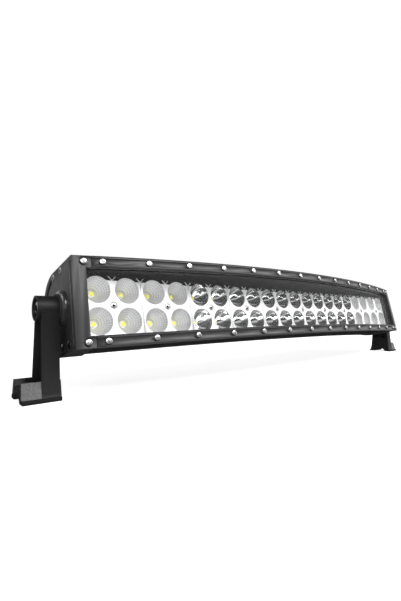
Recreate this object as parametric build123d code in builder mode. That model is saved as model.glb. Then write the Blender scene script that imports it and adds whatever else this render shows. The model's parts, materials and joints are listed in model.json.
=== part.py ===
"""Curved double-row LED light bar on two swivel brackets.

Millimetres. X runs along the bar, -Y is the side that throws the light, Z is up and the brackets
stand on Z = 0. The swivel axis is parallel to X, above the origin.
"""
import os
from math import cos, degrees, radians, sin

from build123d import *

# Bar
bar_length = 560.0        # over the flat outer faces of the end caps
bar_height = 73.0
bar_depth = 76.0
back_radius = 30.5        # round back corners of the D section
arc_radius = 1490.0       # plan radius of the front face
pivot_height = 68.3
pivot_depth = 51.3        # swivel axis behind the middle of the front face
tilt = 12.5               # bar leaned back at rest, degrees

# Housing section, depths from the front face
lip_front = 3.5           # strips and lens seat here
ledge = 8.5               # gasket seat
ledge_back = 12.0
led_floor = 29.6          # back of the boards at the ends of the row
floor_thickness = 3.6     # between the boards and the rear cavity
cavity_front, cavity_back = 33.0, 66.5
rear_wall = 69.5
cavity_half = 24.0
corner_root = 57.0        # root of the grooves round the back corners
fin_thickness = 2.0
fin_pitch = 5.6
wall_outer = 33.6         # side wall under the side fins
inner_half = 30.4
envelope_inset = 0.8
housing_end = 268.5       # along the front face, from the middle

# Front window
window_half = 26.9
pocket_half = 29.9
lens_half = 29.6
lens_thickness = 3.0
lens_end = 272.8
window_end = 270.8

# Bezel strips
strip_outer = bar_height / 2
band_depth = 1.2
band_inner, band_outer = 28.9, 34.7
strip_end = 266.2
tab_end = 266.5

# Fasteners along the front
strip_screw_count = 14
strip_screw_end = 22.3    # last screw in from the cap face
strip_screw_z = 31.9
corner_screw_in = 7.6
corner_screw_z = 31.9
front_screw_radius = 1.5
front_head_radius, front_head_height = 2.7, 1.7

# Reflector modules
module_count = 10
module_pitch = 53.9
module_row_y = -14.0      # the row is straight, this far in front of the swivel axis
module_front = 14.0
row_pitch = 26.2
cup_pitch = 26.95
cup_radius = 11.3
throat_radius = 3.6
cup_wall = 1.0
flood_modules = (0, 1, 8, 9)

# End caps
cap_wall = 3.0
cap_screws = ((1.5, 32.2), (20.5, 31.8), (-9.7, -30.8), (5.5, -30.8), (17.5, -27.0))
cap_screw_length = 10.0
lip_height = 0.8          # raised lip along the front edge of the side plate
lip_width = 1.6
lip_in = 4.2
slot_centre_y, slot_centre_z = 20.0, 7.0
slot_radius = 23.0
slot_start, slot_sweep = 8.0, 66.0
slot_width = 4.2
slot_depth = 2.4

# Swivel hardware
cap_boss_radius = 14.6
cap_boss_rise = 4.4
cap_boss_round = 2.9
cap_boss_thread = 14.4    # depth of its tapped hole
cushion_thickness = 1.0
bolt_radius = 3.0
bolt_head_radius = 5.2
bolt_head_height = 6.0
bolt_socket = 2.9
bolt_reach = 13.4         # thread into the cap boss
cushion_radius = 11.5
washer_radius, washer_thickness = 6.0, 1.2
lock_washer_radius, lock_washer_thickness, lock_washer_gap = 4.9, 1.6, 0.8

# Brackets, X distances from the middle of the bar
arm_inboard = bar_length / 2 + cap_boss_rise + cushion_thickness
arm_width = 12.6
arm_top_half, arm_base_half = 9.2, 16.0
flange = 3.2
web_front, web_back = 2.6, 5.6
boss_radius = 9.7
boss_outer = 300.4
counterbore_radius = 7.4
counterbore_floor = 290.7
foot_inboard, foot_outer = 284.4, 311.4
foot_half = 17.5
foot_height = 14.7
base_strip = 2.6
ridge_outer, ridge_inner = 13.0, 10.0
channel_floor, channel_half = 10.2, 8.2
notch_height, notch_half, notch_top_half = 4.4, 8.8, 5.0
mount_hole_radius = 4.25
mount_hole_x = 304.5

os.makedirs("parts", exist_ok=True)


def finish(part, label):
    """Label a finished part and write its STEP file."""
    part.label = label
    export_step(part, f"parts/{label}.step")


# Frames of the bar --------------------------------------------------------------------------

lean = radians(tilt)
BAR = Plane(origin=(0, 0, pivot_height), x_dir=(1, 0, 0), z_dir=(0, sin(lean), cos(lean)))
ARC_AXIS = Axis(BAR.from_local_coords((0, arc_radius - pivot_depth, 0)), BAR.z_dir)


def at(distance, radius=arc_radius):
    """Angle of a distance along an arc about the arc axis, in degrees."""
    return degrees(distance / radius)


def face_plane(angle, depth=0.0, height=0.0):
    """Plane facing out of the front at one angle of the arc, X along it and Y up the bar."""
    turn_angle = radians(angle)
    radius = arc_radius - depth
    x, y = radius * sin(turn_angle), arc_radius - pivot_depth - radius * cos(turn_angle)
    along = BAR.x_dir * cos(turn_angle) + BAR.y_dir * sin(turn_angle)
    out = BAR.x_dir * sin(turn_angle) - BAR.y_dir * cos(turn_angle)
    return Plane(origin=BAR.from_local_coords((x, y, height)), x_dir=along, z_dir=out)


def section_plane(angle):
    """Radial cut through the bar: X runs in from the front face, Y runs up the bar."""
    front = face_plane(angle)
    return Plane(origin=front.origin, x_dir=-front.z_dir, z_dir=front.x_dir)


def end_plane(side, x):
    """Plane across the swivel axis facing out of one end, X back along the bar's own depth."""
    return Plane(origin=BAR.from_local_coords((side * x, 0, 0)), x_dir=BAR.y_dir * side,
                 z_dir=BAR.x_dir * side)


def arc_span(side, inner, outer):
    """Start and end angle of a stretch of the arc, in the order a revolve needs them."""
    return (inner, outer) if side > 0 else (-outer, -inner)


# Shared shapes ------------------------------------------------------------------------------

def d_outline(inset, front):
    """D section of the bar: flat front, top and bottom, round back corners."""
    half, back, radius = bar_height / 2 - inset, bar_depth - inset, back_radius - inset
    corner, level = back - radius, half - radius
    with BuildLine() as outline:
        Polyline((corner, half), (front, half), (front, -half), (corner, -half))
        CenterArc((corner, -level), radius, -90, 90)
        Line((back, -level), (back, level))
        CenterArc((corner, level), radius, 0, 90)
    make_face(outline.edges())


def slab(front, back, half, mode=Mode.ADD):
    """Rectangle between two depths, centred on the bar's mid height."""
    with Locations(((front + back) / 2, 0)):
        Rectangle(back - front, 2 * half, mode=mode)


def band(front, back, low, high, mode=Mode.ADD):
    """Two rectangles between two depths, one above and one below the mid height."""
    middle = (low + high) / 2
    with Locations(((front + back) / 2, middle), ((front + back) / 2, -middle)):
        Rectangle(back - front, high - low, mode=mode)


def turn(seats, outline, mode=Mode.ADD):
    """Turn a closed (radius, height) outline about the normal of every seat plane."""
    for seat in seats:
        with BuildSketch(Plane(origin=seat.origin, x_dir=seat.x_dir, z_dir=-seat.y_dir)) as half:
            with BuildLine():
                Polyline(*outline, close=True)
            make_face()
        revolve(half.sketch, axis=Axis(seat.origin, seat.z_dir), mode=mode)


def prism(seats, radius, height, sides=6, mode=Mode.ADD):
    """Regular prism on every seat plane, grown along its normal."""
    with BuildSketch(*seats) as outline:
        RegularPolygon(radius, sides)
    extrude(outline.sketch, amount=height, mode=mode)


def button_screws(seats, head_radius, head_height, shank_radius, shank_length, socket):
    """Domed socket-head screws with their heads standing on the seat planes."""
    shoulder = 0.55 * head_height
    turn(seats, [(0, -shank_length), (shank_radius, -shank_length), (shank_radius, 0),
                 (head_radius, 0), (head_radius, shoulder * 0.5), (head_radius * 0.86, shoulder * 1.3),
                 (head_radius * 0.62, head_height), (0, head_height)])
    prism([seat.offset(head_height) for seat in seats], socket, -0.6 * head_height,
          mode=Mode.SUBTRACT)


def countersunk_outline(above):
    """Half outline of a countersunk screw, or of its hole when it runs above the face."""
    outline = [(0, -cap_screw_length), (1.6, -cap_screw_length), (1.6, -2.0), (3.3, 0)]
    return outline + ([(3.3, above), (0, above)] if above else [(0, 0)])


# Seats along the front ----------------------------------------------------------------------

screw_run = bar_length / 2 - strip_screw_end
screw_step = 2 * screw_run / (strip_screw_count - 1)
strip_screw_angles = [at(-screw_run + i * screw_step) for i in range(strip_screw_count)]
corner_screw_angles = [at(side * (bar_length / 2 - corner_screw_in)) for side in (-1, 1)]
module_row = [(i - (module_count - 1) / 2) * module_pitch for i in range(module_count)]
strip_seats = {side: [face_plane(angle, band_depth, side * strip_screw_z)
                      for angle in strip_screw_angles] for side in (-1, 1)}
corner_seats = [face_plane(angle, band_depth, side * corner_screw_z)
                for angle in corner_screw_angles for side in (-1, 1)]
module_seats = [Plane(origin=BAR.from_local_coords((x, module_row_y, 0)), x_dir=BAR.x_dir,
                      z_dir=-BAR.y_dir) for x in module_row]
board_floor = module_row_y + led_floor - module_front
cap_screw_seats = {side: [Plane(origin=BAR.from_local_coords((side * bar_length / 2, y, z)),
                                x_dir=BAR.y_dir * side, z_dir=BAR.x_dir * side)
                          for y, z in cap_screws] for side in (-1, 1)}
driver_thickness, driver_lift = 1.6, 1.2
driver_depth = pivot_depth + board_floor + floor_thickness + driver_thickness + driver_lift
driver_spots = [(x, z) for x in (-45.0, 45.0) for z in (-8.5, 8.5)]
driver_seat = face_plane(0, driver_depth)
fitting_distance = 215.0  # cable gland and breather, from the middle of the back
fitting_radius = 6.0      # their threads
land_radius = 11.5
gland_seat = face_plane(at(fitting_distance), rear_wall)
vent_seat = face_plane(at(-fitting_distance), rear_wall)


# Housing ------------------------------------------------------------------------------------

housing_angle = at(housing_end)


def straight_hollow(front, back, half, low, high):
    """Part of a hollow along the arc that lies between two depths straight across the bar."""
    with BuildPart(mode=Mode.PRIVATE) as hollow:
        with BuildSketch(section_plane(-housing_angle)):
            slab(front, back, half)
        revolve(axis=ARC_AXIS, revolution_arc=2 * housing_angle)
        with BuildSketch(BAR):
            with Locations((0, (low + high) / 2)):
                Rectangle(2 * bar_length, high - low)
        extrude(amount=bar_height, both=True, mode=Mode.INTERSECT)
    return hollow.part


with BuildPart() as housing:
    with BuildSketch(section_plane(-housing_angle)):
        d_outline(envelope_inset, lip_front)
        slab(lip_front, ledge, pocket_half, mode=Mode.SUBTRACT)
        slab(ledge, ledge_back, window_half, mode=Mode.SUBTRACT)
        # grooves between the fins on the top and bottom
        for i in range(4):
            front = 14.0 + i * fin_pitch
            band(front, front + fin_pitch - fin_thickness, wall_outer, bar_height, Mode.SUBTRACT)
        # grooves between the fins round the back
        for i in range(6):
            low = fin_thickness / 2 + i * fin_pitch
            root = rear_wall if low < cavity_half else corner_root
            band(root, bar_depth, low, low + fin_pitch - fin_thickness, Mode.SUBTRACT)
        band(led_floor + 4.5, bar_depth, 6 * fin_pitch + fin_thickness / 2, bar_height,
             Mode.SUBTRACT)
    revolve(axis=ARC_AXIS, revolution_arc=2 * housing_angle)
    # light chamber with a flat floor for the boards, and the rear cavity behind that floor
    add(straight_hollow(ledge_back, pivot_depth + board_floor + 2, inner_half, -bar_depth,
                        board_floor), mode=Mode.SUBTRACT)
    add(straight_hollow(cavity_front, cavity_back, cavity_half, board_floor + floor_thickness,
                        bar_depth), mode=Mode.SUBTRACT)
    # lands milled through the back fins for the cable gland and the breather
    for seat in (gland_seat, vent_seat):
        with BuildSketch(seat):
            Circle(land_radius)
        extrude(amount=-bar_depth, mode=Mode.SUBTRACT)
        with BuildSketch(seat):
            Circle(fitting_radius + 0.1)
        extrude(amount=rear_wall - cavity_back + 1, mode=Mode.SUBTRACT)
    # tapped holes for the strip screws, board screws and driver screws
    with BuildSketch(*[seat.offset(band_depth - lip_front) for side in (-1, 1)
                       for seat in strip_seats[side]]):
        Circle(front_screw_radius)
    extrude(amount=-8.0, mode=Mode.SUBTRACT)
    with BuildSketch(*[seat.offset(module_front - led_floor) for seat in module_seats]):
        Circle(1.5)
    extrude(amount=-3.0, mode=Mode.SUBTRACT)
    with BuildSketch(driver_seat):
        with Locations(*driver_spots):
            Circle(1.2)
    extrude(amount=5.6, mode=Mode.SUBTRACT)
finish(housing.part, "housing")

# Bezel strips -------------------------------------------------------------------------------

strip_angle = at(strip_end)
for side, label in ((1, "top_bezel_strip"), (-1, "bottom_bezel_strip")):
    with BuildPart() as strip:
        with BuildSketch(section_plane(-strip_angle)):
            middle = (window_half + strip_outer) / 2
            with Locations((lip_front / 2, side * middle)):
                Rectangle(lip_front, strip_outer - window_half)
            with Locations((band_depth / 2, side * (band_inner + band_outer) / 2)):
                Rectangle(band_depth, band_outer - band_inner, mode=Mode.SUBTRACT)
            # grooves beside the screw band
            with Locations((0.3, side * (band_outer + 1.2)), (0.3, side * (band_inner - 1.1))):
                Rectangle(0.6, 0.7, mode=Mode.SUBTRACT)
            # step down to the window
            with Locations((0.6, side * window_half)):
                Rectangle(1.2, 0.9, mode=Mode.SUBTRACT)
        revolve(axis=ARC_AXIS, revolution_arc=2 * strip_angle)
        with BuildSketch(*strip_seats[side]):
            Circle(front_screw_radius)
        extrude(amount=-lip_front, mode=Mode.SUBTRACT)
    finish(strip.part, label)

# Lens and its gasket ------------------------------------------------------------------------

lens_angle = at(lens_end)
lens_back = lip_front + lens_thickness
with BuildPart() as lens:
    with BuildSketch(section_plane(-lens_angle)):
        slab(lip_front, lens_back, lens_half)
    revolve(axis=ARC_AXIS, revolution_arc=2 * lens_angle)
finish(lens.part, "lens")

window_angle = at(window_end)
with BuildPart() as lens_gasket:
    with BuildSketch(section_plane(-lens_angle)):
        slab(lens_back, ledge, lens_half)
    revolve(axis=ARC_AXIS, revolution_arc=2 * lens_angle)
    with BuildSketch(section_plane(-window_angle)):
        slab(lens_back, ledge, window_half)
    revolve(axis=ARC_AXIS, revolution_arc=2 * window_angle, mode=Mode.SUBTRACT)
finish(lens_gasket.part, "lens_gasket")

# End caps and their gaskets -----------------------------------------------------------------

gasket_angle = at(housing_end + 1.0)
cap_outer = bar_length / 2
for side, name in ((-1, "left"), (1, "right")):
    start, end = arc_span(side, housing_angle, gasket_angle)
    with BuildPart() as cap_gasket:
        with BuildSketch(section_plane(start)):
            d_outline(1.6, ledge)
            slab(ledge, led_floor, inner_half, mode=Mode.SUBTRACT)
            slab(cavity_front, cavity_back, cavity_half, mode=Mode.SUBTRACT)
        revolve(axis=ARC_AXIS, revolution_arc=end - start)
    finish(cap_gasket.part, f"{name}_cap_gasket")

    start, end = arc_span(side, gasket_angle, at(cap_outer + 18))
    with BuildPart() as end_cap:
        with BuildSketch(section_plane(start)):
            d_outline(0, 0)
        revolve(axis=ARC_AXIS, revolution_arc=end - start)
        # flat outer face across the swivel axis
        with BuildSketch(end_plane(side, cap_outer)):
            Rectangle(4 * bar_depth, 2 * bar_height)
        extrude(amount=4 * bar_depth, mode=Mode.SUBTRACT)
        # front plate reaches in over the housing end, further at the corner tabs
        start, end = arc_span(side, housing_angle, gasket_angle)
        with BuildSketch(section_plane(start)):
            band(0, lip_front, window_half, bar_height / 2)
        revolve(axis=ARC_AXIS, revolution_arc=end - start)
        start, end = arc_span(side, at(tab_end), housing_angle)
        with BuildSketch(section_plane(start)):
            band(0, lip_front, window_half, bar_height / 2)
        revolve(axis=ARC_AXIS, revolution_arc=end - start)
        # rebate for the ends of the lens and gasket
        start, end = arc_span(side, housing_angle, at(lens_end + 0.4))
        with BuildSketch(section_plane(start)):
            slab(lip_front, ledge, lens_half + 0.3)
        revolve(axis=ARC_AXIS, revolution_arc=end - start, mode=Mode.SUBTRACT)
        start, end = arc_span(side, housing_angle, window_angle)
        with BuildSketch(section_plane(start)):
            slab(0, ledge_back, window_half)
        revolve(axis=ARC_AXIS, revolution_arc=end - start, mode=Mode.SUBTRACT)
        # hollow for the ends of the last module, and a deeper one behind it
        start, end = arc_span(side, housing_angle, at(cap_outer - cap_wall - 1.5))
        with BuildSketch(section_plane(start)):
            slab(ledge_back, led_floor, inner_half)
        revolve(axis=ARC_AXIS, revolution_arc=end - start, mode=Mode.SUBTRACT)
        # pockets round the corner screws, open to the strips
        for level in (-1, 1):
            start, end = arc_span(side, at(tab_end), at(cap_outer - corner_screw_in))
            with BuildSketch(section_plane(start)):
                with Locations((band_depth / 2, level * corner_screw_z)):
                    Rectangle(band_depth, band_outer - band_inner + 1.8)
            revolve(axis=ARC_AXIS, revolution_arc=end - start, mode=Mode.SUBTRACT)
            seat = face_plane(side * at(cap_outer - corner_screw_in), band_depth,
                              level * corner_screw_z)
            with BuildSketch(seat):
                Circle((band_outer - band_inner) / 2 + 0.9)
            extrude(amount=band_depth + 1, mode=Mode.SUBTRACT)
            with BuildSketch(seat):
                Circle(front_screw_radius)
            extrude(amount=-9, mode=Mode.SUBTRACT)
        # raised pad for the swivel, tapped for its bolt
        with BuildSketch(end_plane(side, cap_outer)) as pad:
            Circle(cap_boss_radius)
        extrude(amount=cap_boss_rise)
        fillet(end_cap.faces().sort_by(Axis.X)[-1 if side > 0 else 0].edges(), cap_boss_round)
        with BuildSketch(end_plane(side, cap_outer + cap_boss_rise)):
            Circle(bolt_radius)
        extrude(amount=-cap_boss_thread, mode=Mode.SUBTRACT)
        # curved slots inside the back rim
        with BuildSketch(end_plane(side, cap_outer)):
            for level in (-1, 1):
                with BuildLine() as slot_line:
                    CenterArc((side * slot_centre_y, level * slot_centre_z), slot_radius,
                              90 * (1 - side) + slot_start * level * side,
                              slot_sweep * level * side)
                SlotArc(slot_line.wire(), slot_width)
        extrude(amount=-slot_depth, mode=Mode.SUBTRACT)
        # lip along the front edge of the side plate
        front_y = arc_radius - pivot_depth - (arc_radius ** 2 - cap_outer ** 2) ** 0.5
        with BuildSketch(end_plane(side, cap_outer)):
            with Locations((side * (front_y + lip_in), 0)):
                Rectangle(lip_width, bar_height - 6)
        extrude(amount=lip_height)
        turn(cap_screw_seats[side], countersunk_outline(0.4), mode=Mode.SUBTRACT)
    finish(end_cap.part, f"{name}_end_cap")

    with BuildPart() as cap_screw_set:
        turn(cap_screw_seats[side], countersunk_outline(0.0))
        prism(cap_screw_seats[side], 1.5, -1.5, mode=Mode.SUBTRACT)
    finish(cap_screw_set.part, f"{name}_cap_screws")

# Reflector modules --------------------------------------------------------------------------

module_width = module_pitch - 0.5
plate_top, plate_bottom = 21.8, -26.0  # plate between the cups; the upper rims stand out past it
plate_thickness = 1.5
board_front = led_floor - 1.6
cup_depth = board_front - module_front
post_radius, post_recess, recess_depth = 4.2, 3.2, 1.8
cup_spots = [(x * cup_pitch / 2, z * row_pitch / 2) for x in (-1, 1) for z in (-1, 1)]


def cup(seat, wall, bulge, mode):
    """Turn one reflector cup: mouth on the seat plane, throat at the board."""
    mouth, throat = cup_radius + wall, throat_radius + wall
    middle = ((mouth + throat) / 2 + bulge, -cup_depth / 2)
    with BuildSketch(Plane(origin=seat.origin, x_dir=seat.x_dir, z_dir=-seat.y_dir)) as half:
        with BuildLine():
            Polyline((mouth, 0), (0, 0), (0, -cup_depth), (throat, -cup_depth))
            ThreePointArc((throat, -cup_depth), middle, (mouth, 0))
        make_face()
    revolve(half.sketch, axis=Axis(seat.origin, seat.z_dir), mode=mode)


for index, module_seat in enumerate(module_seats):
    bulge = 0.7 if index in flood_modules else 1.9
    cup_seats = [Plane(origin=module_seat.from_local_coords((x, z, 0)), x_dir=module_seat.x_dir,
                       z_dir=module_seat.z_dir) for x, z in cup_spots]
    with BuildPart() as reflector:
        with BuildSketch(module_seat):
            with Locations((0, (plate_top + plate_bottom) / 2)):
                Rectangle(module_width, plate_top - plate_bottom)
            with Locations(*cup_spots):
                Circle(cup_radius + cup_wall)
        extrude(amount=-plate_thickness)
        with BuildSketch(module_seat):
            Circle(post_radius)
        extrude(amount=-cup_depth)
        for seat in cup_seats:
            cup(seat, cup_wall, bulge, Mode.ADD)
        for seat in cup_seats:
            cup(seat, 0, bulge, Mode.SUBTRACT)
        turn([module_seat], [(0, 0), (post_recess, 0), (post_recess, -recess_depth),
                             (1.6, -recess_depth), (1.6, -cup_depth), (0, -cup_depth)],
             mode=Mode.SUBTRACT)
    kind = "flood" if index in flood_modules else "spot"
    finish(reflector.part, f"{kind}_reflector_{index + 1}")

# Boards and LEDs ----------------------------------------------------------------------------

board_width, board_height = 50.0, 49.0
board_seats = [seat.offset(module_front - board_front) for seat in module_seats]
led_size, led_height = 3.5, 0.7
led_dome, led_dome_height = 1.5, 1.2
with BuildPart() as led_boards:
    with BuildSketch(*board_seats):
        Rectangle(board_width, board_height)
        Circle(1.6, mode=Mode.SUBTRACT)
    extrude(amount=board_front - led_floor)
finish(led_boards.part, "led_boards")

with BuildPart() as leds:
    for seat in board_seats:
        led_seats = [Plane(origin=seat.from_local_coords((x, z, 0)), x_dir=seat.x_dir,
                           z_dir=seat.z_dir) for x, z in cup_spots]
        with BuildSketch(*led_seats):
            Rectangle(led_size, led_size)
        extrude(amount=led_height)
        turn([led_seat.offset(led_height) for led_seat in led_seats],
             [(0, 0), (led_dome, 0), (led_dome * 0.8, led_dome_height * 0.6), (0, led_dome_height)])
finish(leds.part, "leds")

# Screws along the front ---------------------------------------------------------------------

with BuildPart() as reflector_screws:
    button_screws([seat.offset(-recess_depth) for seat in module_seats], 2.7, 1.4, 1.5,
                  led_floor + 2.6 - module_front - recess_depth, 1.2)
finish(reflector_screws.part, "reflector_screws")

for side, label in ((1, "top_strip_screws"), (-1, "bottom_strip_screws")):
    with BuildPart() as strip_screws:
        button_screws(strip_seats[side], front_head_radius, front_head_height,
                      front_screw_radius, 9.0, 1.15)
    finish(strip_screws.part, label)

with BuildPart() as corner_screws:
    button_screws(corner_seats, front_head_radius, front_head_height, front_screw_radius, 8.5,
                  1.15)
finish(corner_screws.part, "corner_screws")

# Driver in the rear cavity ------------------------------------------------------------------

with BuildPart() as driver_board:
    with BuildSketch(driver_seat):
        Rectangle(120, 24)
        with Locations(*driver_spots):
            Circle(1.3, mode=Mode.SUBTRACT)
    extrude(amount=driver_thickness)
finish(driver_board.part, "driver_board")

with BuildPart() as driver_spacers:
    with BuildSketch(driver_seat.offset(driver_thickness)):
        with Locations(*driver_spots):
            Circle(2.6)
            Circle(1.3, mode=Mode.SUBTRACT)
    extrude(amount=driver_lift)
finish(driver_spacers.part, "driver_spacers")

with BuildPart() as driver_screws:
    for x, z in driver_spots:
        screw_seat = Plane(origin=driver_seat.from_local_coords((x, z, 0)),
                           x_dir=driver_seat.x_dir, z_dir=-driver_seat.z_dir)
        button_screws([screw_seat], 2.3, 1.4, 1.2, 4.6, 1.0)
finish(driver_screws.part, "driver_screws")

with BuildPart() as inductors:
    with BuildSketch(driver_seat):
        with Locations((-26, 0), (-4, 0), (18, 0)):
            RectangleRounded(9, 9, 1.5)
    extrude(amount=-4.4)
finish(inductors.part, "inductors")

with BuildPart() as capacitors:
    with BuildSketch(driver_seat):
        with Locations((-15, 6), (7, 6), (29, 6), (-15, -6), (7, -6), (29, -6)):
            Circle(3.2)
    extrude(amount=-5.0)
finish(capacitors.part, "capacitors")

with BuildPart() as driver_chips:
    with BuildSketch(driver_seat):
        with Locations((-36, 0), (38, 0)):
            Rectangle(5, 6)
        with Locations((-53, 0), (53, 0)):
            Rectangle(7, 10)
    extrude(amount=-1.6)
finish(driver_chips.part, "driver_chips")

# Cable gland and breather in the back -------------------------------------------------------

wall = rear_wall - cavity_back
gland_bore, cord_radius = 3.4, 2.2
gland_dome, gland_reach, gland_hex = 7.2, 13.5, 4.0
thread_reach = wall + 3.0
nut_radius, nut_thickness = 8.6, 2.2
with BuildPart() as cable_gland:
    prism([gland_seat], nut_radius - 0.2, -gland_hex)
    turn([gland_seat], [(0, 0), (0, -gland_reach), (gland_dome - 1.8, -gland_reach),
                        (gland_dome, 3.0 - gland_reach), (gland_dome, 0), (fitting_radius, 0),
                        (fitting_radius, thread_reach), (0, thread_reach)])
    with BuildSketch(gland_seat.offset(thread_reach)):
        Circle(gland_bore)
    extrude(amount=-gland_reach - thread_reach, mode=Mode.SUBTRACT)
finish(cable_gland.part, "cable_gland")

with BuildPart() as gland_nut:
    prism([gland_seat.offset(wall)], nut_radius, nut_thickness)
    with BuildSketch(gland_seat.offset(wall)):
        Circle(fitting_radius)
    extrude(amount=nut_thickness, mode=Mode.SUBTRACT)
finish(gland_nut.part, "gland_nut")

with BuildPart() as gland_seal:
    with BuildSketch(gland_seat.offset(1.0 - gland_reach)):
        Circle(gland_bore)
        Circle(cord_radius, mode=Mode.SUBTRACT)
    extrude(amount=8.0)
finish(gland_seal.part, "gland_seal")

with BuildPart() as breather:
    turn([vent_seat], [(0, -3.6), (6.6, -3.6), (8.2, -2.6), (8.2, 0), (fitting_radius, 0),
                       (fitting_radius, wall + 2.6), (1.6, wall + 2.6), (1.6, -1.4), (0, -1.4)])
finish(breather.part, "breather")

with BuildPart() as breather_nut:
    prism([vent_seat.offset(wall)], nut_radius, nut_thickness)
    with BuildSketch(vent_seat.offset(wall)):
        Circle(fitting_radius)
    extrude(amount=nut_thickness, mode=Mode.SUBTRACT)
finish(breather_nut.part, "breather_nut")

# Swivel hardware and brackets ---------------------------------------------------------------


def bracket_plane(side, x):
    """Plane across the swivel axis facing out of one end, Y straight up from the floor."""
    return Plane(origin=(side * x, 0, 0), x_dir=(0, side, 0), z_dir=(side, 0, 0))


def arm_outline(inset, low, high):
    """Tapered side view of the arm between two heights."""
    def half(z):
        return arm_base_half + (arm_top_half - arm_base_half) * z / pivot_height - inset
    return [(-half(low), low), (half(low), low), (half(high), high), (-half(high), high)]


for side, name in ((-1, "left"), (1, "right")):
    with BuildPart() as bracket:
        with BuildSketch(bracket_plane(side, foot_inboard)):
            with BuildLine():
                right = [(notch_top_half, notch_height), (notch_half, 0), (foot_half, 0),
                         (foot_half, base_strip), (foot_half - 1.3, base_strip + 0.5),
                         (ridge_outer, foot_height), (ridge_inner, foot_height),
                         (channel_half, channel_floor)]
                Polyline(*right, *[(-y, z) for y, z in reversed(right)], close=True)
            make_face()
        extrude(amount=foot_outer - foot_inboard)
        with BuildSketch(bracket_plane(side, arm_inboard)):
            with BuildLine():
                Polyline(*arm_outline(0, notch_height, pivot_height), close=True)
            make_face()
        extrude(amount=arm_width)
        # open channel on the outboard side
        with BuildSketch(bracket_plane(side, arm_inboard + web_back)):
            with BuildLine():
                Polyline(*arm_outline(flange, channel_floor, pivot_height), close=True)
            make_face()
        extrude(amount=arm_width, mode=Mode.SUBTRACT)
        # pockets on the inboard side with a rib between them
        with BuildSketch(bracket_plane(side, arm_inboard)):
            with BuildLine():
                Polyline(*arm_outline(flange, 24.0, 54.0), close=True)
            make_face()
            with Locations((0, 40.0)):
                Rectangle(3.0, 60.0, mode=Mode.SUBTRACT)
        extrude(amount=web_front, mode=Mode.SUBTRACT)
        # swivel boss with its counterbore
        with BuildSketch(bracket_plane(side, arm_inboard)):
            with Locations((0, pivot_height)):
                Circle(boss_radius)
        extrude(amount=boss_outer - arm_inboard)
        with BuildSketch(bracket_plane(side, arm_inboard)):
            with Locations((0, pivot_height)):
                Circle(bolt_radius + 0.3)
        extrude(amount=boss_outer - arm_inboard, mode=Mode.SUBTRACT)
        with BuildSketch(bracket_plane(side, counterbore_floor)):
            with Locations((0, pivot_height)):
                Circle(counterbore_radius)
        extrude(amount=boss_outer - counterbore_floor, mode=Mode.SUBTRACT)
        # mounting hole down through the foot
        with BuildSketch(Plane.XY):
            with Locations((side * mount_hole_x, 0)):
                Circle(mount_hole_radius)
        extrude(amount=foot_height, mode=Mode.SUBTRACT)
    finish(bracket.part, f"{name}_bracket")

    with BuildPart() as cushion:
        with BuildSketch(end_plane(side, bar_length / 2 + cap_boss_rise)):
            Circle(cushion_radius)
            Circle(bolt_radius, mode=Mode.SUBTRACT)
        extrude(amount=cushion_thickness)
    finish(cushion.part, f"{name}_cushion_washer")

    with BuildPart() as flat_washer:
        with BuildSketch(end_plane(side, counterbore_floor)):
            Circle(washer_radius)
            Circle(bolt_radius, mode=Mode.SUBTRACT)
        extrude(amount=washer_thickness)
    finish(flat_washer.part, f"{name}_flat_washer")

    lock_face = counterbore_floor + washer_thickness
    with BuildPart() as lock_washer:
        with BuildSketch(end_plane(side, lock_face)):
            Circle(lock_washer_radius)
            Circle(bolt_radius, mode=Mode.SUBTRACT)
            with Locations((0, (lock_washer_radius + bolt_radius) / 2)):
                Rectangle(lock_washer_gap, lock_washer_radius - bolt_radius + 1, mode=Mode.SUBTRACT)
        extrude(amount=lock_washer_thickness)
    finish(lock_washer.part, f"{name}_lock_washer")

    head_seat = end_plane(side, lock_face + lock_washer_thickness)
    shank = lock_face + lock_washer_thickness - (bar_length / 2 + cap_boss_rise) + bolt_reach
    with BuildPart() as pivot_bolt:
        turn([head_seat], [(0, -shank), (bolt_radius, -shank), (bolt_radius, 0),
                           (bolt_head_radius, 0), (bolt_head_radius, bolt_head_height - 0.5),
                           (bolt_head_radius - 0.5, bolt_head_height), (0, bolt_head_height)])
        prism([head_seat.offset(bolt_head_height)], bolt_socket, -3.5, mode=Mode.SUBTRACT)
    finish(pivot_bolt.part, f"{name}_pivot_bolt")
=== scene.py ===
import json
from math import cos, pi, radians, sin

import bmesh
import bpy
from mathutils import Matrix, Vector


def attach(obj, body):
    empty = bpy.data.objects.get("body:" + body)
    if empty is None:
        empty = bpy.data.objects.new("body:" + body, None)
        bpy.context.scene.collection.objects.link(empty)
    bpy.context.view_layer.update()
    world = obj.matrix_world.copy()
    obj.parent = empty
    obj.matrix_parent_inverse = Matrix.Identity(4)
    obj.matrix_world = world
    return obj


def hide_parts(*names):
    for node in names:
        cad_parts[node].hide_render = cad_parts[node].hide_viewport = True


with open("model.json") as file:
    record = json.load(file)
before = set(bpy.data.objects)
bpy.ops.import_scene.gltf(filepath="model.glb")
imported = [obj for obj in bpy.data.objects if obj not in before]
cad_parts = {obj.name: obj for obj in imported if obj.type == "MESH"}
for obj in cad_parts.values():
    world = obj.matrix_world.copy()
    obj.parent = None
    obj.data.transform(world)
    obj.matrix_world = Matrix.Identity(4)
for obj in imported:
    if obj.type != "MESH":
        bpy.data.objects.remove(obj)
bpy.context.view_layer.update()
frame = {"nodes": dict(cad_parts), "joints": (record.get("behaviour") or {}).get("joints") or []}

# Housing --------------------------------------------------------------------------------------
# A black anodised aluminium extrusion, rolled to a gentle curve, with cooling fins on three
# sides. It keeps its machined shape; the finish has the faint lengthwise lines of the die.


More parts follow.
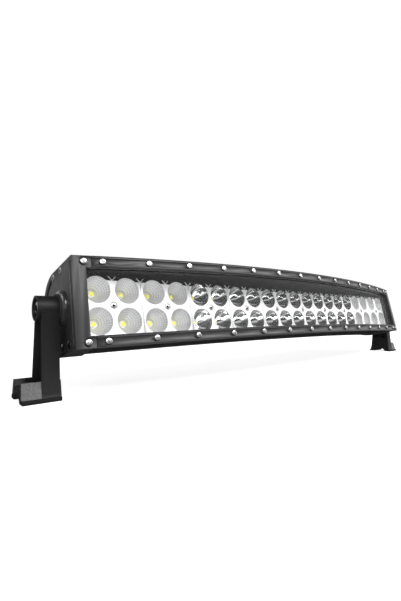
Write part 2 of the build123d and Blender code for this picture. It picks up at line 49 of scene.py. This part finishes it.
class Value:
    """A number or colour inside a material. Arithmetic on it adds the Math nodes."""

    def __init__(self, nodes, socket):
        self.nodes, self.socket = nodes, socket

    def maths(self, operation, *numbers):
        return self.nodes.add("ShaderNodeMath", {"operation": operation}, dict(enumerate(numbers)))

    def __add__(self, other):
        return self.maths("ADD", self, other)

    def __sub__(self, other):
        return self.maths("SUBTRACT", self, other)

    def __rsub__(self, other):
        return self.maths("SUBTRACT", other, self)

    def __mul__(self, other):
        return self.maths("MULTIPLY", self, other)

    __radd__ = __add__
    __rmul__ = __mul__


class Nodes:
    """A node tree with one method that adds any node and one that fills a node's sockets."""

    def __init__(self, tree):
        self.tree = tree

    def add(self, kind, settings=None, inputs=None, output=0):
        node = self.tree.nodes.new(kind)
        for name, setting in (settings or {}).items():
            if name == "stops":
                stops = node.color_ramp.elements
                while len(stops) < len(setting):
                    stops.new(1.0)
                for stop, (place, grey) in zip(stops, setting):
                    stop.position, stop.color = place, (grey, grey, grey, 1)
            else:
                setattr(node, name, setting)
        self.fill(node, inputs or {})
        return Value(self, node.outputs[output])

    def fill(self, node, inputs):
        for name, entry in inputs.items():
            socket = node.inputs[name]
            if isinstance(entry, Value):
                self.tree.links.new(entry.socket, socket)
            elif socket.type == "RGBA":
                socket.default_value = (*entry, 1)
            else:
                socket.default_value = entry


class Finish(Nodes):
    """A procedural material built round one Principled shader."""

    def __init__(self, name, **constants):
        self.material = bpy.data.materials.new(name)
        self.material.use_nodes = True
        super().__init__(self.material.node_tree)
        self.shader = self.tree.nodes["Principled BSDF"]
        self.set(**constants)

    def set(self, **inputs):
        self.fill(self.shader, {name.replace("_", " "): entry for name, entry in inputs.items()})

    def place(self, stretch=(1, 1, 1)):
        """Object coordinates, stretched along the axes."""
        spot = self.add("ShaderNodeTexCoord", output="Object")
        return self.add("ShaderNodeMapping", inputs={"Vector": spot, "Scale": stretch})

    def axes(self):
        """The three object coordinates as numbers."""
        spot = self.add("ShaderNodeTexCoord", output="Object")
        split = self.add("ShaderNodeSeparateXYZ", inputs={"Vector": spot})
        return [Value(self, socket) for socket in split.socket.node.outputs]

    def noise(self, scale, detail=3.0, stretch=(1, 1, 1)):
        return self.add("ShaderNodeTexNoise", inputs={
            "Vector": self.place(stretch), "Scale": scale, "Detail": detail})

    def step(self, number, low, high):
        """A mask that rises smoothly from 0 to 1 between two values."""
        return self.add("ShaderNodeMapRange", {"interpolation_type": "SMOOTHSTEP"}, {
            "Value": number, "From Min": low, "From Max": high})

    def mix(self, mask, first, second):
        """A colour between two colours."""
        node = self.tree.nodes.new("ShaderNodeMix")
        node.data_type = "RGBA"
        self.fill(node, {0: mask, 6: first, 7: second})
        return Value(self, node.outputs[2])

    def bump(self, height, distance, strength=1.0):
        return self.add("ShaderNodeBump", inputs={
            "Height": height, "Distance": distance, "Strength": strength}, output="Normal")


def paint_nodes(paint, *nodes):
    for node in nodes:
        part = frame["nodes"][node]
        part.data.materials.clear()
        part.data.materials.append(paint.material)


anodised = Finish("anodised_extrusion", Metallic=0.3, Specular_IOR_Level=0.3)
die_lines = anodised.noise(2600.0, 2.0, stretch=(0.01, 1, 1))
handling = anodised.noise(38.0)
anodised.set(Base_Color=anodised.mix(handling, (0.012, 0.012, 0.013), (0.028, 0.028, 0.030)),
             Roughness=0.34 + 0.16 * die_lines + 0.08 * handling,
             Normal=anodised.bump(die_lines, 0.00006, 0.5))
paint_nodes(anodised, "housing")

# Driver ---------------------------------------------------------------------------------------
# The constant-current supply in the rear cavity: a green board on four spacers and screws, with
# drum inductors, aluminium capacitors and moulded chips. It keeps its CAD shapes.

solder_mask = Finish("green_solder_mask", Coat_Weight=0.3)
traces = solder_mask.add("ShaderNodeTexBrick", {"offset": 0.35, "squash": 1.0}, {
    "Vector": solder_mask.place(), "Scale": 160.0, "Mortar Size": 0.035,
    "Color1": (0, 0, 0), "Color2": (0, 0, 0), "Mortar": (1, 1, 1)})
solder_mask.set(Base_Color=solder_mask.mix(traces, (0.010, 0.085, 0.030), (0.035, 0.190, 0.070)),
                Roughness=0.32 + 0.1 * solder_mask.noise(300.0))
paint_nodes(solder_mask, "driver_board")

moulded = Finish("moulded_black_nylon")
mould_grain = moulded.noise(1400.0)
moulded.set(Base_Color=moulded.mix(mould_grain, (0.012, 0.012, 0.013), (0.026, 0.026, 0.027)),
            Roughness=0.42 + 0.2 * mould_grain, Normal=moulded.bump(mould_grain, 0.00008, 0.5))
paint_nodes(moulded, "driver_chips", "inductors")

can_metal = Finish("capacitor_can", Metallic=1.0)
drawn = can_metal.noise(700.0, 2.0, stretch=(1, 0.05, 1))
can_metal.set(Base_Color=can_metal.mix(drawn, (0.55, 0.56, 0.58), (0.78, 0.79, 0.80)),
              Roughness=0.28 + 0.15 * drawn)
paint_nodes(can_metal, "capacitors")

stainless = Finish("bright_stainless", Metallic=1.0)
turned = stainless.noise(1500.0, 2.0)
# Marked socket insides turn near black: painted shade in the hex sockets.
painted_socket_shade = stainless.add("ShaderNodeAttribute", {"attribute_name": "socket"}, output="Fac")
steel = stainless.mix(turned, (0.50, 0.50, 0.51), (0.74, 0.74, 0.75))
stainless.set(Base_Color=stainless.mix(painted_socket_shade, steel, (0.02, 0.02, 0.02)),
              Roughness=0.16 + 0.12 * turned, Normal=stainless.bump(turned, 0.00003, 0.4))
paint_nodes(stainless, "driver_spacers", "driver_screws")

# LED boards and LEDs --------------------------------------------------------------------------
# Ten aluminium boards with white mask in one straight row, four LEDs on each: a white ceramic
# base with a yellow phosphor dome on it.

arc_radius = 1.490
pivot_depth = 0.0513
lean = radians(12.5)
pivot_height = frame["joints"][0]["pos_m"][2]
bar = Matrix.Translation((0, 0, pivot_height)) @ Matrix.Rotation(-lean, 4, "X")

module_count, module_pitch, module_row_y = 10, 0.0539, -0.014
board_behind = 0.0140
cup_across, cup_up = module_pitch / 4, 0.0131
cup_spots = [(x * cup_across, y * cup_up) for x in (-1, 1) for y in (-1, 1)]
module_row = [(i - (module_count - 1) / 2) * module_pitch for i in range(module_count)]


def seat(angle, depth, height):
    """Frame at an angle of the bar's curve: X along the bar, Y up it, Z out of the front."""
    radius = arc_radius - depth
    along, up = Vector((cos(angle), sin(angle), 0)), Vector((0, 0, 1))
    out = Vector((sin(angle), -cos(angle), 0))
    facing = Matrix((along, up, out)).transposed().to_4x4()
    spot = Vector((radius * sin(angle), arc_radius - pivot_depth - radius * cos(angle), height))
    return bar @ Matrix.Translation(spot) @ facing


def module_seat(x, behind=0.0):
    """Frame of one module of the straight row, its Z out of the front."""
    spot = Matrix.Translation((x, module_row_y + behind, 0))
    return bar @ spot @ Matrix(((1, 0, 0), (0, 0, -1), (0, 1, 0))).to_4x4()


def pick(*pieces):
    """Select these pieces alone, with the first of them active."""
    bpy.ops.object.select_all(action="DESELECT")
    for piece in pieces:
        piece.select_set(True)
    bpy.context.view_layer.objects.active = pieces[0]


def twin(pattern):
    """An independent copy of a piece, in the scene."""
    copy = pattern.copy()
    copy.data = pattern.data.copy()
    bpy.context.collection.objects.link(copy)
    return copy


def begin(name, add, **options):
    """Add a primitive as a new object with nothing else selected, and open it for editing."""
    bpy.ops.object.select_all(action="DESELECT")
    add(**options)
    piece = bpy.context.object
    piece.name = piece.data.name = name
    bpy.ops.object.transform_apply(location=True, rotation=True, scale=True)
    bpy.ops.object.mode_set(mode="EDIT")
    return piece


def close():
    bpy.ops.object.mode_set(mode="OBJECT")


def choose(test, kind="FACE"):
    """Select the faces, edges or corners that pass a test, and nothing else."""
    bpy.ops.mesh.select_mode(type=kind)
    bpy.ops.mesh.select_all(action="DESELECT")
    shape = bmesh.from_edit_mesh(bpy.context.object.data)
    for item in {"FACE": shape.faces, "EDGE": shape.edges, "VERT": shape.verts}[kind]:
        item.select_set(test(item))
    shape.select_flush_mode()
    bmesh.update_edit_mesh(bpy.context.object.data)


def grow(profile):
    """Extrude the open rim ring by ring through a list of (radius, height) steps."""
    choose(lambda edge: True, "EDGE")
    radius, height = profile[0]
    for next_radius, next_height in profile[1:]:
        bpy.ops.mesh.extrude_edges_move(
            TRANSFORM_OT_translate={"value": (0, 0, next_height - height)})
        ratio = next_radius / radius
        bpy.ops.transform.resize(value=(ratio, ratio, 1), center_override=(0, 0, 0))
        radius, height = next_radius, next_height


def turned_piece(name, profile, sides, cap_start=True, cap_end=True):
    """A turned shape: a rim grown through a list of (radius, height) steps, ends closed."""
    radius, height = profile[0]
    piece = begin(name, bpy.ops.mesh.primitive_circle_add, vertices=sides, radius=radius,
                  location=(0, 0, height), fill_type="NGON" if cap_start else "NOTHING")
    if cap_start:
        bpy.ops.mesh.select_all(action="SELECT")
    grow(profile)
    if cap_end:
        bpy.ops.mesh.edge_face_add()
    bpy.ops.mesh.select_all(action="SELECT")
    bpy.ops.mesh.normals_make_consistent(inside=False)
    close()
    return piece


# The inside of each socket is painted near black as painted shade.
socket_lip = 0.00006      # bright edge of a socket above its dark inside


def bored(piece, height, sides, socket, depth):
    """Open the end face at a height and sink a many-sided socket into it, its inside marked for
    painted shade.
    """
    pick(piece)
    bpy.ops.object.mode_set(mode="EDIT")
    choose(lambda face: len(face.verts) > 6 and abs(face.calc_center_median().z - height) < 1e-6)
    bpy.ops.mesh.delete(type="ONLY_FACE")
    bpy.ops.mesh.select_mode(type="EDGE")
    bpy.ops.mesh.select_all(action="DESELECT")
    bpy.ops.mesh.primitive_circle_add(vertices=sides, radius=socket, location=(0, 0, height))
    choose(lambda edge: edge.is_boundary or edge.is_wire, "EDGE")
    bpy.ops.mesh.bridge_edge_loops()
    choose(lambda edge: edge.is_boundary, "EDGE")
    for drop in (socket_lip, depth - socket_lip):
        bpy.ops.mesh.extrude_edges_move(TRANSFORM_OT_translate={"value": (0, 0, -drop)})
    bpy.ops.mesh.edge_face_add()
    bpy.ops.mesh.select_all(action="SELECT")
    bpy.ops.mesh.normals_make_consistent(inside=False)
    close()
    # Mark the corners inside the socket; the stainless finish paints them near black as painted
    # shade.
    layer = piece.data.attributes.new("socket", "FLOAT", "POINT")
    layer.data.foreach_set("value", [
        float(corner.co.xy.length < 1.01 * socket and height - depth <= corner.co.z + 1e-6
              and corner.co.z < height - socket_lip / 2) for corner in piece.data.vertices])
    return piece


def soft_edges(piece, width, segments=2):
    """Break the sharp edges and smooth what is left."""
    pick(piece)
    if width:
        edge = piece.modifiers.new("broken_edges", "BEVEL")
        edge.width, edge.segments = width, segments
        edge.limit_method, edge.angle_limit = "ANGLE", radians(30)
        bpy.ops.object.modifier_apply(modifier=edge.name)
    bpy.ops.object.shade_smooth_by_angle(angle=radians(35))
    return piece


def joined(name, pieces):
    """Join pieces into the first of them."""
    pick(*pieces)
    bpy.ops.object.join()
    whole = bpy.context.object
    whole.name = whole.data.name = name
    return whole


def laid_out(pattern, name, frames):
    """One joined piece with a copy of a pattern in every frame; the pattern is used up."""
    copies = []
    for place in frames:
        copies.append(twin(pattern))
        copies[-1].data.transform(place)
    bpy.data.objects.remove(pattern)
    return joined(name, copies)


def mark(piece, attribute, amount):
    """Give every corner of a piece a value that its material reads."""
    layer = piece.data.attributes.new(attribute, "FLOAT", "POINT")
    layer.data.foreach_set("value", [amount] * len(piece.data.vertices))


def settle(piece, body, slot, paint, *nodes):
    """Give a finished piece its material and its body, and hide the CAD nodes it stands for."""
    piece.data.materials.clear()
    piece.data.materials.append(paint.material)
    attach(piece, body)
    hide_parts(*nodes)
    return piece


board_mask = Finish("white_board_mask", Coat_Weight=0.2)
pads = board_mask.noise(420.0)
board_mask.set(Base_Color=board_mask.mix(pads, (0.80, 0.80, 0.78), (0.90, 0.90, 0.89)),
               Roughness=0.35 + 0.15 * pads)
paint_nodes(board_mask, "led_boards")

# The phosphor domes, and faintly the ceramic bases, glow from emission though the LEDs are not
# switched on: a painted glow.
phosphor = Finish("led_phosphor", Coat_Weight=0.6, Coat_Roughness=0.05, Emission_Strength=0.22)
is_dome = phosphor.add("ShaderNodeAttribute", {"attribute_name": "dome"}, output="Fac")
speckle = phosphor.noise(2600.0)
yellow = phosphor.mix(speckle, (0.86, 0.80, 0.06), (0.96, 0.93, 0.22))
phosphor.set(Base_Color=phosphor.mix(is_dome, (0.93, 0.93, 0.90), yellow),
             Emission_Color=phosphor.mix(is_dome, (0.10, 0.10, 0.09), (0.90, 0.86, 0.06)),
             Roughness=0.45 - 0.25 * is_dome)

led_base, led_rise, dome_radius, dome_height = 0.0046, 0.0007, 0.0021, 0.0016
ceramic = begin("led_base", bpy.ops.mesh.primitive_cube_add, size=1,
                location=(0, 0, led_rise / 2), scale=(led_base, led_base, led_rise))
choose(lambda face: face.normal.z > 0.9)
bpy.ops.mesh.inset(thickness=0.0004, depth=-0.0001)
close()
soft_edges(ceramic, 0.00012, 1)
dome_steps = [(dome_radius * cos(radians(a)), led_rise + dome_height * sin(radians(a)))
              for a in (0, 22, 45, 66, 82)]
dome = turned_piece("led_dome", dome_steps, 16)
soft_edges(dome, 0)
mark(ceramic, "dome", 0.0)
mark(dome, "dome", 1.0)
led = joined("led", [ceramic, dome])
leds = laid_out(led, "led_emitters", [
    module_seat(x, board_behind) @ Matrix.Translation((cup_x, cup_y, 0)) for x in module_row
    for cup_x, cup_y in cup_spots])
settle(leds, "light_bar", "led_phosphor", phosphor, "leds")

# Reflector modules ----------------------------------------------------------------------------
# Ten vacuum-metallised mouldings of four cups. The two at each end throw a flood and have
# dimpled cups; the six in the middle throw a spot and are smooth. Thin ribs in a V stand along
# the top edge and halfway up the joints, and one screw in the middle holds each module down.

module_gap, plate_thickness = 0.0005, 0.0015
module_width = module_pitch - module_gap
plate_top, plate_bottom = 0.0218, -0.0260
mouth, throat, cup_depth, cup_wall = 0.0113, 0.0036, 0.0140, 0.0007
recess_radius, recess_depth, screw_hole = 0.0032, 0.0018, 0.0016
rib_length, rib_width, rib_height = 0.0048, 0.0005, 0.0009
rib_slant, rib_drop = radians(44), 0.0033
flood_modules = (0, 1, 8, 9)


def cup(name, bulge, gloss, dimple, sides, rings):
    """One reflector cup with a wall of real thickness; dimples are raised facet by facet."""
    steps = [(mouth + 0.0005, 0.0), (mouth + 0.0003, 0.0002), (mouth, -0.0002)]
    for ring in range(1, rings + 1):
        u = ring / rings
        steps.append((mouth + (throat - mouth) * u + 4 * bulge * u * (1 - u), -cup_depth * u))
    shell = turned_piece(name, steps, sides, cap_start=False, cap_end=False)
    wall = shell.modifiers.new("wall", "SOLIDIFY")
    wall.thickness, wall.offset = cup_wall, 1
    bpy.ops.object.modifier_apply(modifier=wall.name)
    smooth_count = len(shell.data.vertices)
    if dimple:
        bpy.ops.object.mode_set(mode="EDIT")
        choose(lambda face: face.normal.dot(face.calc_center_median() * Vector((1, 1, 0))) < 0
               and face.calc_center_median().z < -0.0003)
        bpy.ops.mesh.poke(offset=dimple)
        close()
    corners = len(shell.data.vertices)
    mark(shell, "polish", gloss)
    # Mark the raised dimple tips, which the material paints darker as a painted reflection of dark
    # surroundings.
    tip_reflection_layer = shell.data.attributes.new("dimple", "FLOAT", "POINT")
    tip_reflection_layer.data.foreach_set("value", [float(i >= smooth_count) for i in range(corners)])
    bpy.ops.object.shade_smooth_by_angle(angle=radians(60))
    return shell


def rib(place):
    """A thin straight rib with its edges rounded, starting at the frame."""
    piece = begin("rib", bpy.ops.mesh.primitive_cube_add, size=1, location=(rib_length / 2, 0, 0),
                  scale=(rib_length, rib_width, rib_height))
    close()
    soft_edges(piece, rib_width * 0.25, 1)
    piece.data.transform(place)
    return piece


def module(name, *cup_shape):
    """A plate with four cups, a screw recess and thin V-shaped ribs where the parts meet."""
    plate = begin(name, bpy.ops.mesh.primitive_cube_add, size=1,
                  location=(0, (plate_top + plate_bottom) / 2, -plate_thickness / 2),
                  scale=(module_width, plate_top - plate_bottom, plate_thickness))
    close()
    cutters = []
    for x, y in cup_spots:
        cutters.append(begin("cutter", bpy.ops.mesh.primitive_cylinder_add, vertices=48,
                             radius=mouth, depth=4 * plate_thickness, location=(x, y, 0)))
        close()
    cutters.append(begin("cutter", bpy.ops.mesh.primitive_cylinder_add, vertices=24,
                         radius=recess_radius, depth=4 * plate_thickness, location=(0, 0, 0)))
    close()
    cutter = joined("cutter", cutters)
    opening = plate.modifiers.new("openings", "BOOLEAN")
    opening.operation, opening.object, opening.solver = "DIFFERENCE", cutter, "EXACT"
    bpy.context.view_layer.objects.active = plate
    bpy.ops.object.modifier_apply(modifier=opening.name)
    bpy.data.objects.remove(cutter)
    soft_edges(plate, 0.00025, 2)
    mark(plate, "polish", 0.0)
    parts = [plate]
    pattern = cup("cup", *cup_shape)
    for x, y in cup_spots:
        parts.append(twin(pattern))
        parts[-1].data.transform(Matrix.Translation((x, y, 0)))
    bpy.data.objects.remove(pattern)
    # recess floor for the screw head
    well = turned_piece("well", [(recess_radius + 0.0006, -0.0003), (recess_radius, -0.0005),
                                 (recess_radius, -recess_depth), (screw_hole, -recess_depth),
                                 (screw_hole, -0.0030)], 24, False, False)
    soft_edges(well, 0)
    parts.append(well)
    # ribs in a V, standing on the plate where cups or modules meet
    for x, apex_height in ((-1, plate_top), (0, plate_top), (1, plate_top), (-1, -rib_drop),
                           (1, -rib_drop)):
        apex = Vector((x * module_width / 2, apex_height, 0))
        for turn in (-1, 1):
            if x * turn <= 0:
                slant = Matrix.Rotation(pi / 2 - turn * rib_slant, 4, "Z")
                parts.append(rib(Matrix.Translation(apex) @ slant))
    return joined(name, parts)


metallised = Finish("metallised_reflector")
polish = metallised.add("ShaderNodeAttribute", {"attribute_name": "polish"}, output="Fac")
haze = metallised.noise(70.0)
# Dimple tips are painted darker grey: a painted reflection of the dark surroundings.
painted_tip_reflection = metallised.add("ShaderNodeAttribute", {"attribute_name": "dimple"}, output="Fac")
bright = metallised.mix(haze, (0.90, 0.91, 0.92), (0.97, 0.97, 0.97))
metallised.set(Base_Color=metallised.mix(painted_tip_reflection, bright, (0.48, 0.48, 0.49)),
               Metallic=0.25 + 0.72 * polish,
               Roughness=0.42 - 0.33 * polish + 0.06 * haze + 0.12 * painted_tip_reflection)
patterns = {"flood": module("flood_pattern", 0.0007, 0.30, 0.00060, 28, 6),
            "spot": module("spot_pattern", 0.0019, 1.0, 0.0, 48, 10)}
for index, x in enumerate(module_row):
    kind = "flood" if index in flood_modules else "spot"
    reflector = twin(patterns[kind])
    reflector.name = reflector.data.name = f"{kind}_reflector_{index + 1}_shell"
    reflector.data.transform(module_seat(x))
    settle(reflector, "light_bar", "bright_reflector", metallised,
           f"{kind}_reflector_{index + 1}")
for pattern in patterns.values():
    bpy.data.objects.remove(pattern)

# Reflector screws -----------------------------------------------------------------------------
# One small pan-head screw with a hex socket in the middle of each module.


def button_screw(name, head, height, shank, length, socket):
    """A domed screw with a hex socket, head up, seat at zero."""
    steps = [(shank, -length), (shank, -0.0001), (head, 0), (head, 0.28 * height),
             (head * 0.95, 0.75 * height), (head * 0.86, 0.94 * height), (head * 0.78, height)]
    screw = turned_piece(name, steps, 24)
    bored(screw, height, 6, socket, 0.7 * height)
    return soft_edges(screw, 0)


def screws(name, pattern, frames, node):
    settle(laid_out(pattern, name, frames), "light_bar", "stainless", stainless, node)


screws("module_screws", button_screw("screw", 0.0027, 0.0014, 0.0015, 0.0070, 0.0014),
       [module_seat(x, recess_depth) for x in module_row], "reflector_screws")

# Lens and gaskets -----------------------------------------------------------------------------
# One bent sheet of clear polycarbonate, clamped on a black rubber gasket by the bezel strips.

rubber = Finish("black_rubber")
bloom = rubber.noise(800.0)
rubber.set(Base_Color=rubber.mix(bloom, (0.008, 0.008, 0.008), (0.020, 0.020, 0.020)),
           Roughness=0.62 + 0.2 * bloom, Normal=rubber.bump(bloom, 0.00006, 0.4))
paint_nodes(rubber, "lens_gasket", "left_cap_gasket", "right_cap_gasket", "gland_seal")

clear = Finish("clear_polycarbonate", IOR=1.58)
sheen = clear.add("ShaderNodeLayerWeight", inputs={"Blend": 0.25}, output="Facing")
film = clear.noise(24.0)
clear.set(Base_Color=clear.mix(film, (0.93, 0.95, 0.96), (1.0, 1.0, 1.0)),
          Roughness=0.03 + 0.04 * film, Alpha=0.008 + 0.03 * sheen)
paint_nodes(clear, "lens")

# Bezel strips ---------------------------------------------------------------------------------
# Two curved powder-coated strips along the top and bottom of the window. Each has a flat band
# for its screws between two narrow ridges.


def softened(node, name, width, segments=2):
    """A copy of a machined part with its edges broken, in place of the part itself."""
    piece = twin(frame["nodes"][node])
    piece.name = piece.data.name = name
    piece.parent = None
    piece.matrix_world = Matrix.Identity(4)
    pick(piece)
    bpy.ops.object.mode_set(mode="EDIT")
    bpy.ops.mesh.select_all(action="SELECT")
    bpy.ops.mesh.remove_doubles(threshold=0.000002)
    bpy.ops.mesh.dissolve_limited(angle_limit=radians(0.6))
    close()
    return soft_edges(piece, width, segments)


strip_coat = Finish("bezel_powder_coat", Metallic=0.0, Coat_Weight=0.15, Coat_Roughness=0.3)
strip_grain = strip_coat.noise(1900.0, 2.0, stretch=(0.06, 1, 1))
strip_cloud = strip_coat.noise(40.0)
strip_coat.set(Base_Color=strip_coat.mix(strip_cloud, (0.020, 0.020, 0.021), (0.038, 0.038, 0.040)),
               Roughness=0.36 + 0.18 * strip_grain,
               Normal=strip_coat.bump(strip_grain, 0.00008, 0.4))
for level in ("top", "bottom"):
    settle(softened(f"{level}_bezel_strip", f"{level}_strip_cover", 0.00018, 1), "light_bar",
           "black_bezel", strip_coat, f"{level}_bezel_strip")

# Bezel and corner screws ----------------------------------------------------------------------
# Fourteen button-head hex screws hold each strip, and one more each corner of the end caps.

bar_end = 0.280
band_depth, strip_screw_height = 0.0012, 0.0319
strip_screw_count, strip_screw_end, corner_screw_in = 14, 0.0223, 0.0076
screw_run = bar_end - strip_screw_end
strip_angles = [(2 * i / (strip_screw_count - 1) - 1) * screw_run / arc_radius
                for i in range(strip_screw_count)]
corner_angles = [side * (bar_end - corner_screw_in) / arc_radius for side in (-1, 1)]


def front_screw():
    return button_screw("screw", 0.0028, 0.0017, 0.0015, 0.0088, 0.00165)


for level, name in ((1, "top"), (-1, "bottom")):
    screws(f"{name}_bezel_screws", front_screw(),
           [seat(angle, band_depth, level * strip_screw_height) for angle in strip_angles],
           f"{name}_strip_screws")
screws("cap_corner_screws", front_screw(),
       [seat(angle, band_depth, level * strip_screw_height) for angle in corner_angles
        for level in (-1, 1)], "corner_screws")

# End caps -------------------------------------------------------------------------------------
# Die-cast D-shaped caps, powder coated. A smooth raised pad on each takes the swivel, and two
# curved slots lighten the back edge. Five countersunk screws hold a cap to the housing.

cap_coat = Finish("cap_powder_coat", Coat_Roughness=0.10)
cap_x, cap_y, cap_z = cap_coat.axes()
cap_grain = cap_coat.noise(1700.0, 2.0)
cap_cloud = cap_coat.noise(45.0)
from_axis = (cap_y * cap_y + (cap_z - pivot_height) * (cap_z - pivot_height)) * 1e6
on_pad = (cap_coat.step(cap_x.maths("ABSOLUTE", cap_x), 0.28005, 0.28030)
          * (1 - cap_coat.step(from_axis, 232.0, 240.0)))
cap_coat.set(Base_Color=cap_coat.mix(cap_cloud, (0.016, 0.016, 0.017), (0.034, 0.034, 0.036)),
             Roughness=0.40 + 0.14 * cap_grain - 0.22 * on_pad, Coat_Weight=0.08 + 0.9 * on_pad,
             Normal=cap_coat.bump(cap_grain * (1 - on_pad), 0.00010, 0.5))
cap_screw_spots = ((0.0015, 0.0322), (0.0205, 0.0318), (-0.0097, -0.0308), (0.0055, -0.0308),
                   (0.0175, -0.0270))


def end_seat(side, x, y=0.0, z=0.0):
    """Frame across the swivel axis facing out of one end of the bar."""
    turned_out = Matrix(((0, 0, side), (side, 0, 0), (0, 1, 0))).to_4x4()
    return bar @ Matrix.Translation((side * x, y, z)) @ turned_out


def countersunk_screw():
    shank, head, face = 0.0016, 0.0032, 0.00012
    screw = turned_piece("screw", [(shank, -0.0095), (shank, -0.0020), (head, -0.00015),
                                   (head, 0.0), (head - 0.0002, face)], 24)
    bored(screw, face, 6, 0.0016, 0.0014)
    return soft_edges(screw, 0)


for side, name in ((-1, "left"), (1, "right")):
    settle(softened(f"{name}_end_cap", f"{name}_cap_casting", 0.00035), "light_bar",
           "black_cap", cap_coat, f"{name}_end_cap")
    screws(f"{name}_cap_hex_screws", countersunk_screw(),
           [end_seat(side, bar_end, y, z) for y, z in cap_screw_spots], f"{name}_cap_screws")

# Brackets -------------------------------------------------------------------------------------
# Cast aluminium feet with an open-backed arm and a boss for the swivel bolt. The coat is satin
# on the arm and left rough, as cast, on the sloping sides of the foot.

bracket_coat = Finish("bracket_powder_coat", Specular_IOR_Level=0.3)
arm_x, arm_y, arm_z = bracket_coat.axes()
arm_grain = bracket_coat.noise(1500.0, 2.0)
sand = bracket_coat.noise(700.0, 5.0)
foot_side = (bracket_coat.step(arm_x.maths("ABSOLUTE", arm_x), 0.2982, 0.2986)
             * bracket_coat.step(arm_y.maths("ABSOLUTE", arm_y), 0.0122, 0.0128)
             * bracket_coat.step(arm_z, 0.0030, 0.0034))
satin = bracket_coat.mix(arm_grain, (0.006, 0.006, 0.006), (0.013, 0.013, 0.013))
as_cast = bracket_coat.mix(sand, (0.040, 0.040, 0.041), (0.210, 0.210, 0.213))
bracket_coat.set(Base_Color=bracket_coat.mix(foot_side, satin, as_cast),
                 Roughness=0.42 + 0.12 * arm_grain + 0.30 * foot_side,
                 Normal=bracket_coat.bump(arm_grain * 0.25 + sand * foot_side, 0.00030, 0.5))
for name in ("left", "right"):
    settle(softened(f"{name}_bracket", f"{name}_bracket_casting", 0.0004), f"{name}_bracket",
           "black_bracket", bracket_coat, f"{name}_bracket")

# Swivel hardware ------------------------------------------------------------------------------
# An M6 socket-head bolt runs through a flat and a split washer in the boss, and a rubber washer
# between arm and pad keeps the swivel tight.

head_radius, head_height, bolt_radius, bolt_length = 0.0052, 0.0060, 0.0030, 0.0271
head_seat, bolt_socket, bolt_socket_depth = 0.2935, 0.0029, 0.0036


def swivel_bolt(name):
    bolt = turned_piece(name, [
        (bolt_radius - 0.0004, -bolt_length), (bolt_radius, 0.0006 - bolt_length),
        (bolt_radius, -0.0002), (head_radius, 0.0), (head_radius, head_height - 0.0007),
        (head_radius - 0.0003, head_height - 0.0002), (head_radius - 0.0009, head_height)], 36)
    bored(bolt, head_height, 6, bolt_socket, bolt_socket_depth)
    return soft_edges(bolt, 0)


for side, name in ((-1, "left"), (1, "right")):
    bolt = swivel_bolt(f"{name}_swivel_bolt")
    bolt.data.transform(end_seat(side, head_seat))
    settle(bolt, "light_bar", "stainless", stainless, f"{name}_pivot_bolt")
    paint_nodes(stainless, f"{name}_flat_washer", f"{name}_lock_washer")
    paint_nodes(rubber, f"{name}_cushion_washer")

# Cable gland and breather ---------------------------------------------------------------------
# Moulded nylon fittings in the back of the housing, each with a nut inside. The power cord
# would leave through the gland.

for node, name in (("cable_gland", "gland_body"), ("breather", "breather_cap")):
    settle(softened(node, name, 0.0002), "light_bar", "black_plastic", moulded, node)
paint_nodes(moulded, "gland_nut", "breather_nut")

# Studio ---------------------------------------------------------------------------------------
# A pale sweep lit from all round at the horizon and dim overhead, with a long soft box high in
# front and a weak one at either side. The camera stands low at the left end of the bar.

scene = bpy.context.scene
scene.view_settings.view_transform = "Standard"

bpy.ops.object.camera_add(location=(-0.3692, -0.2814, 0.0618),
                          rotation=(pi / 2 + 0.0474, 0, -0.6874))
camera = bpy.context.object
camera.data.sensor_width = 36
camera.data.lens = 20.66
camera.data.clip_start = 0.01
scene.camera = camera

world = bpy.data.worlds.new("studio")
scene.world = world
world.use_nodes = True
tent = Nodes(world.node_tree)
toward = tent.add("ShaderNodeTexCoord", output="Generated")
split = tent.add("ShaderNodeSeparateXYZ", inputs={"Vector": toward})
upward = Value(tent, split.socket.node.outputs["Z"])
glow = tent.add("ShaderNodeValToRGB", {"stops": [
    (0.48, 0.02), (0.51, 0.35), (0.60, 0.55), (0.72, 0.40), (0.85, 0.10), (1.0, 0.08)]},
    {"Fac": upward * 0.5 + 0.5})
seen = tent.add("ShaderNodeLightPath", output="Is Camera Ray")
tent_light = tent.add("ShaderNodeMix", {"data_type": "RGBA"}, {0: seen, 6: glow, 7: (1, 1, 1)},
                      output=2)
tent.fill(world.node_tree.nodes["Background"], {"Color": tent_light, "Strength": 1.0})


def soft_box(name, place, aim, width, height, power):
    bpy.ops.object.light_add(type="AREA", location=place)
    box = bpy.context.object
    box.name = name
    box.data.shape = "RECTANGLE"
    box.data.size, box.data.size_y = width, height
    box.data.energy = power
    box.rotation_euler = (Vector(aim) - Vector(place)).to_track_quat("-Z", "Y").to_euler()


soft_box("front_box", (0.4, -1.45, 1.40), (0, 0, 0.06), 3.0, 0.7, 50)
soft_box("left_box", (-1.7, 0.5, 1.25), (-0.2, 0, 0.06), 1.2, 0.7, 7)
soft_box("right_box", (1.9, -0.7, 0.55), (0.2, 0, 0.06), 1.6, 0.9, 5)

bpy.ops.object.select_all(action="DESELECT")
bpy.ops.mesh.primitive_plane_add(size=6, location=(0, 0, 0))
floor = bpy.context.object
floor.name = "floor"
floor.visible_glossy = False
paper = Finish("floor_paper", Emission_Color=(1, 1, 1), Emission_Strength=0.75)
fibre = paper.noise(90.0)
paper.set(Base_Color=paper.mix(fibre, (0.84, 0.84, 0.84), (0.88, 0.88, 0.88)), Roughness=0.75)
floor.data.materials.append(paper.material)
